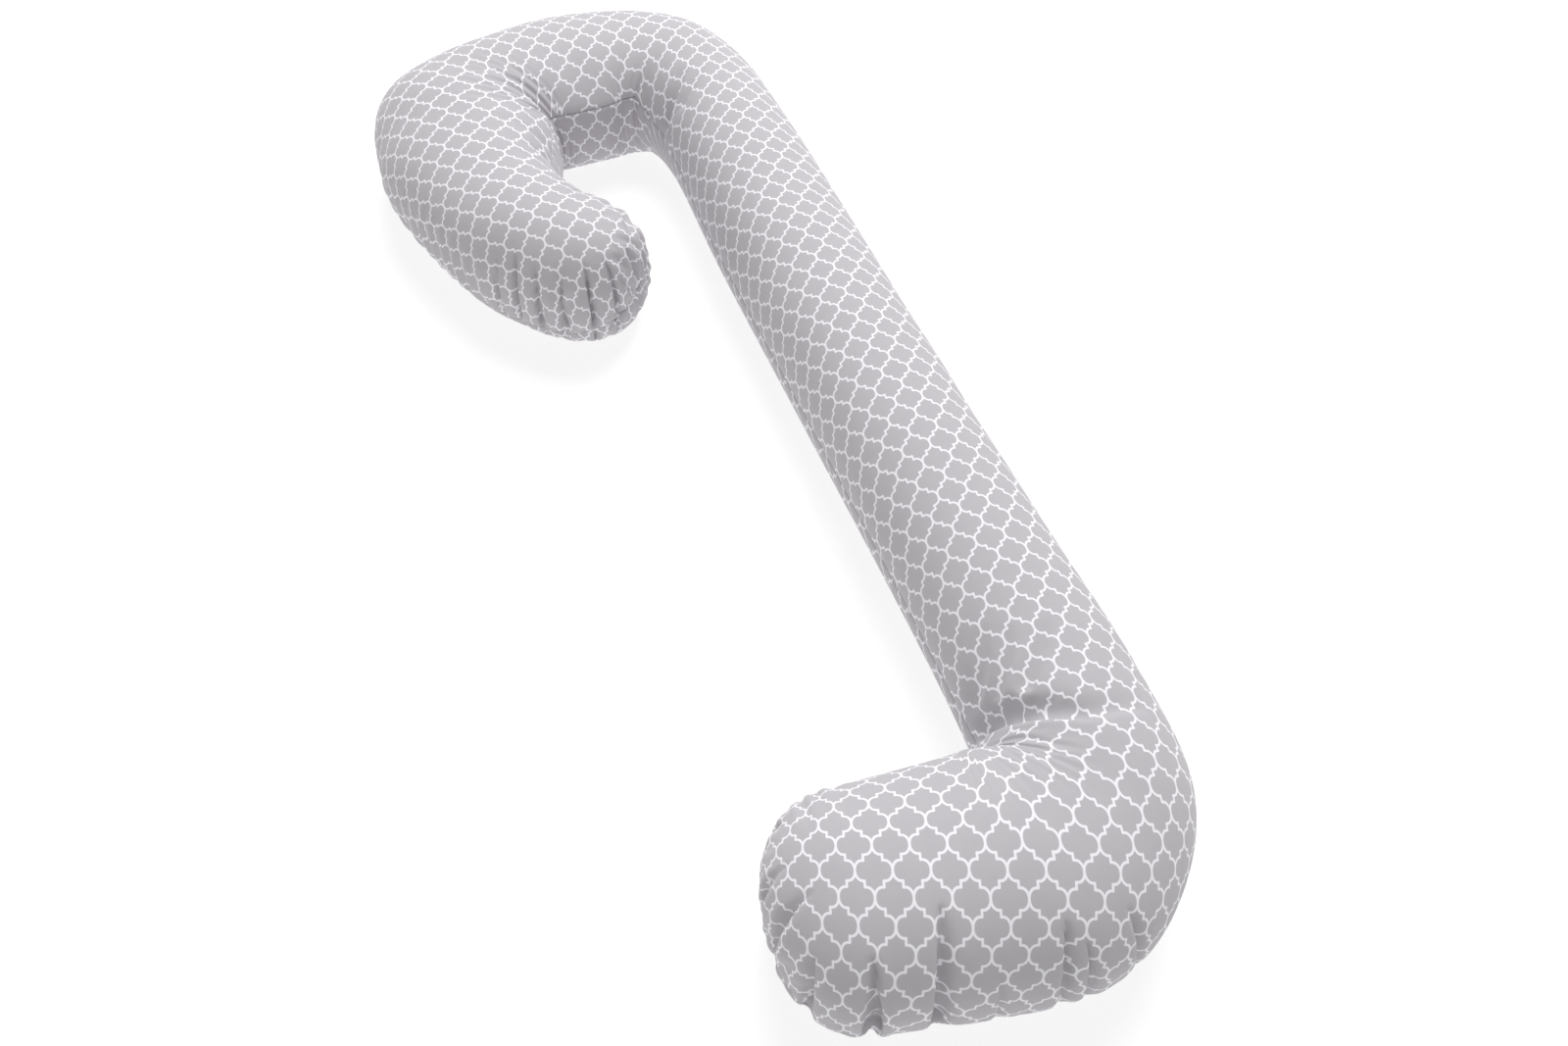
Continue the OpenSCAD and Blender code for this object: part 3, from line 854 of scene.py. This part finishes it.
def cover_panel(name, index, cut, side):
    """One panel of the cover, with its edge drawn into the seam and folded back beside the zip."""
    panel = cover_points[index]
    facing = outward[index]
    rim = np.zeros(panel.shape[:2], bool)
    rim[[0, -1]] = rim[:, [0, -1]] = True
    zipped = np.zeros(panel.shape[:2])
    zipped[:, -1] = ON_ZIP
    panel[rim] -= facing[rim] * (SEAM_GROOVE * (1 - zipped[rim]))[:, None]
    open_zip(panel, np.array([0, 0, side * ZIP_OPENING]))
    cut = squared_to_seam(panel, cut) if side < 0 else cut.copy()
    cell = cut[:, -2] - cut[:, -1]
    open_zip(cut, cell * (ZIP_OPENING / np.linalg.norm(cell, axis=1))[:, None])
    turned = panel - facing * (ALLOWANCE * (1 - 0.6 * zipped))[..., None]
    turned[..., 2] += side * (ALLOWANCE_APART + FOLD_HIGH * zipped)
    shape = with_edges(panel, turned)
    faces = quads(np.arange(shape[..., 0].size).reshape(shape.shape[:2]), side > 0)
    piece = make_mesh(name.replace("panel", "cloth"), shape, faces)
    set_print_map(piece, with_edges(cut, cut))
    press_pleats(piece, cover_points[net.top[net.from_middle > 0.999]])
    dress(piece, COVER, name)
    return panel


top_panel = cover_panel("cover_top_panel", net.top, top_cut, 1)
bottom_panel = cover_panel("cover_bottom_panel", net.bottom, bottom_cut, -1)


def outline(points, facing):
    """Points and outward directions round the seam, from the zip's end round to its start."""
    index = ring(net.top)
    before_zip = np.where(net.body & (net.t < ZIP_FIRST - 0.12))[0][-1]
    after_zip = np.where(net.body & (net.t > ZIP_LAST + 0.12))[0][0]
    index = np.roll(index, -np.flatnonzero(index == net.top[after_zip, -1])[0])
    index = index[:np.flatnonzero(index == net.top[before_zip, -1])[0] + 1]
    return points[index], facing[index]


def wrapped_thread(line, facing, depth, reach, rise, pitch):
    """A thread wrapped round the seam allowance, from near the seam to its raw edge."""
    run = np.concatenate([[0], np.cumsum(np.linalg.norm(np.diff(line, axis=0), axis=1))])
    turns = int(run[-1] / pitch)
    place = np.linspace(0, run[-1], turns * 8)
    at = np.stack([np.interp(place, run, line[:, k]) for k in range(3)], axis=1)
    out = np.stack([np.interp(place, run, facing[:, k]) for k in range(3)], axis=1)
    angle = np.linspace(0, 2 * math.pi * turns, turns * 8)
    path = at - out * (depth + reach * (1 - np.cos(angle)))[:, None]
    path[:, 2] += rise * np.sin(angle)
    return path


seam_line, seam_facing = outline(cover_points, outward)
seam_thread = wrapped_thread(seam_line, seam_facing, 2.5 * MM, 1.4 * MM, 1.1 * MM, 3.6 * MM)
overlock = tubes("cover_overlock_thread", [seam_thread], 0.25 * MM, (0.3, 0.2, 1.0), 4)
dress(overlock, THREAD, "cover_seam_overlock")


# ---------------------------------------------------------------- zip

TAPE_PLANE = BACK_EDGE - TAPE_DEPTH + SHIFT[0]
ZIP_LOW, ZIP_HIGH = ZIP_START + SHIFT[1], ZIP_END + SHIFT[1]
TAPE_WIDE, TAPE_THICK, TAPE_TAIL = 13 * MM, 0.6 * MM, 22 * MM
COIL_RADIUS, WIRE = 1.2 * MM, 0.32 * MM
COIL_PITCH = 1.5 * MM
STITCH, STITCH_STEP, STITCH_FROM_EDGE = 2.4 * MM, 3 * MM, 4 * MM


def zip_half(word, side, panel):
    """The tape, the coil and the row of lockstitch on one side of the zip."""
    low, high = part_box("zip_tape_" + word)
    along = np.linspace(low.y - TAPE_TAIL, high.y + TAPE_TAIL, 240)
    across = np.linspace(low.z, high.z, 9)
    y, z = np.meshgrid(along, across, indexing="ij")
    wave = 0.08 * MM * np.sin(y / (9 * MM)) * np.clip(np.abs(z - SEAM) / TAPE_WIDE, 0, 1)
    front = np.stack([TAPE_PLANE + TAPE_THICK / 2 + wave, y, z], axis=2)
    back = np.stack([TAPE_PLANE - TAPE_THICK / 2 + wave, y, z], axis=2)
    index = np.arange(y.size).reshape(y.shape)
    edge = np.append(ring(index), index[0, 0])
    rim = np.stack([edge, edge + y.size])
    faces = np.concatenate([quads(index, True), quads(index + y.size, False), quads(rim, True)])
    tape = make_mesh("woven_tape_" + word, np.stack([front, back]), faces)
    dress(tape, TAPE, "zip_tape_" + word)
    low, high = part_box("zip_coil_" + word)
    turns = int((high.y - low.y - 2 * WIRE) / COIL_PITCH)
    angle = np.linspace(0, 2 * math.pi * turns, turns * 10) + (math.pi if side > 0 else 0)
    loop = COIL_RADIUS - WIRE
    coil = np.stack([
        (low.x + high.x) / 2 + loop * np.cos(angle),
        np.linspace(low.y + WIRE, high.y - WIRE, len(angle)),
        (low.z + high.z) / 2 + side * loop * np.sin(angle),
    ], axis=1)
    dress(tubes("nylon_coil_" + word, [coil], WIRE, (0.1, 1.0, 0.0), 5), NYLON, "zip_coil_" + word)
    level = SEAM + side * (ZIP_OPENING + STITCH_FROM_EDGE)
    rows = np.where(ON_ZIP > 0.99)[0]
    edge = panel[rows][:, :-5:-1]
    surface_x = [np.interp(side * level, side * row[:, 2], row[:, 0]) for row in edge]
    stitches = []
    share = np.linspace(0, 1, 7)
    for start in np.arange(ZIP_LOW + 2 * MM, ZIP_HIGH - STITCH, STITCH_STEP):
        y = start + share * STITCH
        x = np.interp(y, edge[:, 0, 1], surface_x) + 0.9 * MM * (np.sin(math.pi * share) ** 0.6) - 0.55 * MM
        stitches.append(np.stack([x, y, np.full(7, level)], axis=1))
    thread = tubes("lockstitch_" + word, stitches, 0.25 * MM, (0.0, 0.1, 1.0), 6)
    dress(thread, THREAD, "zip_stitching_" + word)


zip_half("upper", 1, top_panel)
zip_half("lower", -1, bottom_panel)


def carried(node, made, width):
    """A hard piece of the CAD, kept with rounded edges and its own material."""
    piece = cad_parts[node]
    piece.data.materials.clear()
    piece.data.materials.append(made)
    modifier = piece.modifiers.new("rounded", "BEVEL")
    modifier.width, modifier.segments = width, 3
    modifier.limit_method, modifier.angle_limit = "ANGLE", math.radians(35)


carried("zip_slider", METAL, 0.2 * MM)
carried("zip_puller", METAL, 0.2 * MM)
carried("zip_top_stops", NYLON, 0.3 * MM)
carried("zip_bottom_stop", NYLON, 0.3 * MM)


# ---------------------------------------------------------------- label, casing and filling

def care_label():
    """A blank satin label that hangs inside the cover from its seam allowance."""
    low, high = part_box("care_label")
    y, drop = np.meshgrid(np.linspace(low.y, high.y, 25), np.linspace(0, 1, 17), indexing="ij")
    curl = 0.6 * MM * np.sin((y - low.y) / (9 * MM)) * drop
    middle = (low.x + high.x) / 2
    points = np.stack([middle + curl, y, high.z - drop * (high.z - low.z)], axis=2)
    index = np.arange(y.size).reshape(y.shape)
    piece = make_mesh("satin_label", points, quads(index, True))
    modifier = piece.modifiers.new("thick", "SOLIDIFY")
    modifier.thickness = 0.25 * MM
    dress(piece, SATIN, "care_label")


CASING_DEPTH, CASING_ALLOWANCE = 20 * MM, 3 * MM
FILL_DEPTH, FILL_LUMPS = 27 * MM, 0.7 * MM
COARSE = 3
HAND_STEP, HAND_RISE, HAND_LEAN, HAND_ARCH = 5 * MM, 5 * MM, 2 * MM, 1 * MM


def coarser(grid):
    """Every third row and column of a panel's grid, with its edges."""
    rows = np.unique(np.append(np.arange(0, net.rows, COARSE), net.rows - 1))
    cols = np.unique(np.append(np.arange(0, net.cols, COARSE), net.cols - 1))
    return grid[rows][:, cols]


def casing_panel(name, index, side):
    """One panel of the inner pillow's casing, with shallow puckers along its seam."""
    panel, facing = smooth_shape[index], outward[index]
    edge = seam_distance(net, panel)
    wave = np.sin(0.5 * np.arange(1, net.rows + 1))[:, None]
    depth = CASING_DEPTH + 1.2 * MM * np.exp(-edge / (22 * MM)) * wave
    shape = coarser(panel - facing * depth[..., None])
    turned = shape - coarser(facing) * CASING_ALLOWANCE
    turned[..., 2] += side * 0.4 * MM
    shape = with_edges(shape, turned, 0.15)
    index = np.arange(shape[..., 0].size).reshape(shape.shape[:2])
    piece = make_mesh(name.replace("panel", "cloth"), shape, quads(index, side > 0))
    subdivide(piece)
    dress(piece, CASING, name)


def fibre_fill():
    """The loose fibre, as one soft lumpy body."""
    lumps = (uneven(11, net, 6) * FILL_LUMPS)[..., None]
    top = coarser(smooth_top - outward[net.top] * (FILL_DEPTH + lumps))
    bottom = coarser(smooth_bottom - outward[net.bottom] * (FILL_DEPTH + lumps))
    index = np.arange(top[..., 0].size).reshape(top.shape[:2])
    under = index.copy()
    under[1:-1, 1:-1] += index.size
    faces = np.concatenate([quads(index, True), quads(under, False)])
    points = np.concatenate([top.reshape(-1, 3), bottom.reshape(-1, 3)])
    used, faces = np.unique(faces, return_inverse=True)
    piece = make_mesh("loose_fibre", points[used], faces.reshape(-1, 4))
    subdivide(piece)
    dress(piece, FIBRE, "fibre_fill")


care_label()
casing_panel("casing_top_panel", net.top, 1)
casing_panel("casing_bottom_panel", net.bottom, -1)
fibre_fill()
inner_line, inner_facing = outline(smooth_shape - outward * CASING_DEPTH, outward)
inner_thread = wrapped_thread(inner_line, inner_facing, 1.5 * MM, 1.2 * MM, 0.9 * MM, 4 * MM)
overlock = tubes("casing_overlock_thread", [inner_thread], 0.25 * MM, (0.3, 0.2, 1.0), 4)
dress(overlock, THREAD, "casing_seam_overlock")


def closing_stitch():
    """Slanting hand stitches over the stretch of the casing's seam that is closed last."""
    low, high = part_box("casing_closing_stitch")
    line = (smooth_shape - outward * CASING_DEPTH)[net.top[net.body, -1]]
    stitches = []
    share = np.linspace(0, 1, 7)
    for y in np.arange(low.y + 2 * MM, high.y - 4 * MM, HAND_STEP):
        x = np.interp(y, line[:, 1], line[:, 0]) + HAND_ARCH * np.sin(math.pi * share) - 0.3 * MM
        z = SEAM + HAND_RISE * (share - 0.5)
        stitches.append(np.stack([x, y + HAND_LEAN * share, z], axis=1))
    thread = tubes("hand_stitches", stitches, 0.3 * MM, (0.0, 1.0, 0.2), 6)
    dress(thread, THREAD, "casing_closing_stitch")


closing_stitch()


# ---------------------------------------------------------------- camera, light and floor

VIEW_AIM, VIEW_FAR, LENS = Vector((0.04, -0.14, 0.0)), 1.53, 30
VIEW_UP, VIEW_ROUND = math.radians(53.5), math.radians(-21.5)
SKY = 0.5                   # strength of the white light from all sides
FLOOR_HALF = 6.0
PAPER_SHADE, PAPER_GLOW = 0.35, 0.74


def make_camera():
    level = math.cos(VIEW_UP)
    back = Vector((math.sin(VIEW_ROUND) * level, -math.cos(VIEW_ROUND) * level, math.sin(VIEW_UP)))
    camera = bpy.data.objects.new("camera", bpy.data.cameras.new("camera"))
    bpy.context.scene.collection.objects.link(camera)
    camera.location = VIEW_AIM + back * VIEW_FAR
    camera.rotation_mode = "QUATERNION"
    camera.rotation_quaternion = (-back).to_track_quat("-Z", "Y")
    camera.data.lens, camera.data.sensor_width = LENS, 36
    bpy.context.scene.camera = camera


def make_lamp(name, place, aim, size, power):
    lamp = bpy.data.lights.new(name, "AREA")
    lamp.energy, lamp.size = power, size
    box = bpy.data.objects.new(name, lamp)
    bpy.context.scene.collection.objects.link(box)
    box.location = place
    box.rotation_mode = "QUATERNION"
    box.rotation_quaternion = (box.location - Vector(aim)).to_track_quat("Z", "Y")


def make_stage():
    scene = bpy.context.scene
    scene.view_settings.view_transform = "Standard"
    scene.world = bpy.data.worlds.new("studio")
    scene.world.use_nodes = True
    background = scene.world.node_tree.nodes["Background"]
    background.inputs[0].default_value = (1, 1, 1, 1)
    background.inputs[1].default_value = SKY
    corners = [(-1, -1, 0), (1, -1, 0), (1, 1, 0), (-1, 1, 0)]
    floor = make_mesh("floor", FLOOR_HALF * np.array(corners), [[0, 1, 2, 3]])
    made, _, shader = material("paper", (PAPER_SHADE,) * 3, 0.9)
    shader.inputs["Emission Color"].default_value = (1, 1, 1, 1)
    shader.inputs["Emission Strength"].default_value = PAPER_GLOW
    floor.data.materials.append(made)
    make_lamp("softbox", (1.8, 2.6, 5.0), (0, 0, 0), 3.2, 285)


make_camera()
make_stage()
